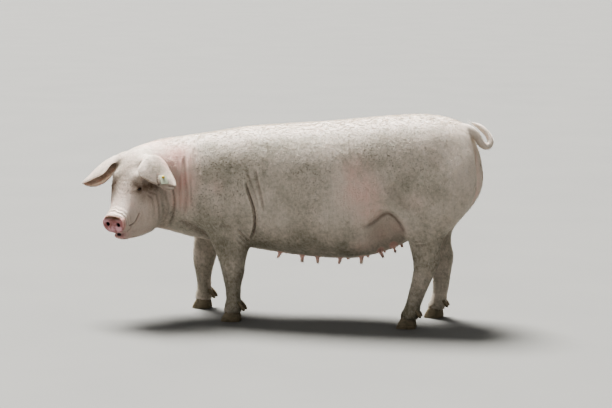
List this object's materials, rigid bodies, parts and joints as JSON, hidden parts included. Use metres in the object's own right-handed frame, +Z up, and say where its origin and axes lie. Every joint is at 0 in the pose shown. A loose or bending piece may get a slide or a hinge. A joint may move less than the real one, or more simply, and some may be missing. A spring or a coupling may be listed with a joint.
{
  "type": "domestic pig",
  "caption": "Life-size standing adult domestic sow, lop-eared and white, head turned to the left, tail curled, as a still model that stands on its own feet.",
  "frame": {"origin": "on the floor, midway along and across the whole model", "axes": "+X from head to rump, +Y to the sow's right, +Z up"},
  "size_m": [1.8258, 0.5634, 0.9187],
  "materials": {
    "skin": "matte",
    "hoof": "satin",
    "eye": "gloss",
    "tag_green": "satin",
    "tag_yellow": "satin"
  },
  "bodies": {
    "root": {"torso": "skin", "neck": "skin", "head": "skin", "ear_left": "skin", "ear_right": "skin", "tail_root": "skin", "tail_curl": "skin", "tail_tip": "skin", "foreleg_left_upper": "skin", "foreleg_left_lower": "skin", "foreleg_right_upper": "skin", "foreleg_right_lower": "skin", "hindleg_left_upper": "skin", "hindleg_left_lower": "skin", "hindleg_right_upper": "skin", "hindleg_right_lower": "skin", "claw_fore_left_inner": "hoof", "claw_fore_left_outer": "hoof", "claw_fore_right_inner": "hoof", "claw_fore_right_outer": "hoof", "claw_hind_left_inner": "hoof", "claw_hind_left_outer": "hoof", "claw_hind_right_inner": "hoof", "claw_hind_right_outer": "hoof", "dewclaw_fore_left_inner": "hoof", "dewclaw_fore_left_outer": "hoof", "dewclaw_fore_right_inner": "hoof", "dewclaw_fore_right_outer": "hoof", "dewclaw_hind_left_inner": "hoof", "dewclaw_hind_left_outer": "hoof", "dewclaw_hind_right_inner": "hoof", "dewclaw_hind_right_outer": "hoof", "eye_left": "eye", "eye_right": "eye", "ear_tag_plate": "tag_green", "ear_tag_stud": "tag_yellow"}
  },
  "joints": []
}
